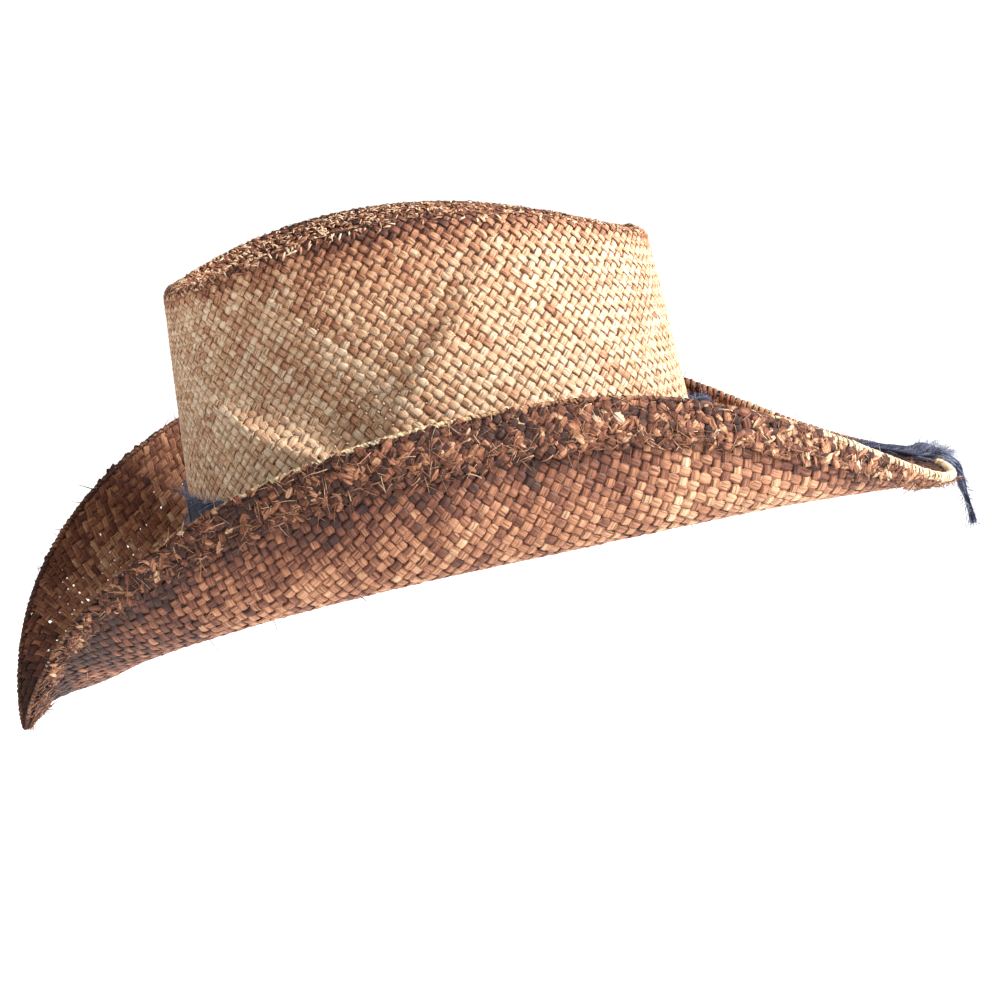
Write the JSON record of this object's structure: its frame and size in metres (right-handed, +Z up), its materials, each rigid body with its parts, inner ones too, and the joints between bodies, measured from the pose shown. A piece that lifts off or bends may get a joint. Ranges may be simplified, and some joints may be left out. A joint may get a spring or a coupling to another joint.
{
  "type": "cowboy hat",
  "caption": "Plaited raffia cowboy hat with a creased pinch-front crown, rolled-up wired brim, stained frayed hem, whipped rim and frayed denim hatband with tails",
  "frame": {"origin": "centre of the head opening, in the plane where crown and brim meet", "axes": "+Y to the back of the hat, -Y to the front, +X to the wearer's left, +Z up through the crown; the head comes in from -Z"},
  "size_m": [0.264, 0.4041, 0.1763],
  "materials": {
    "raffia": "plaited natural raffia straw, pale tan, stained brown towards rim and ridge",
    "binding_raffia": "pale raffia strand whipped over the rim",
    "hem_raffia": "dark stained, frayed raffia hem",
    "denim": "dark indigo denim strip with frayed edges",
    "sweatband_cloth": "ribbed elastic cotton band",
    "thread": "waxed brown sewing thread",
    "wire": "soft steel wire",
    "sleeve": "crimped brass tube"
  },
  "bodies": {
    "root": {"crown_shell": "raffia", "brim_shell": "raffia", "brim_hem": "hem_raffia", "edge_binding": "binding_raffia", "brim_edge_wire": "wire", "wire_joint_sleeve": "sleeve", "hem_stitching": "thread", "denim_hatband": "denim", "denim_knot": "denim", "denim_tail_long": "denim", "denim_tail_middle": "denim", "denim_tail_short": "denim", "band_tack_stitches": "thread", "sweatband": "sweatband_cloth", "sweatband_stitching": "thread", "sweatband_seam_tape": "sweatband_cloth", "sweatband_bow": "sweatband_cloth", "size_label": "sweatband_cloth"}
  },
  "joints": []
}
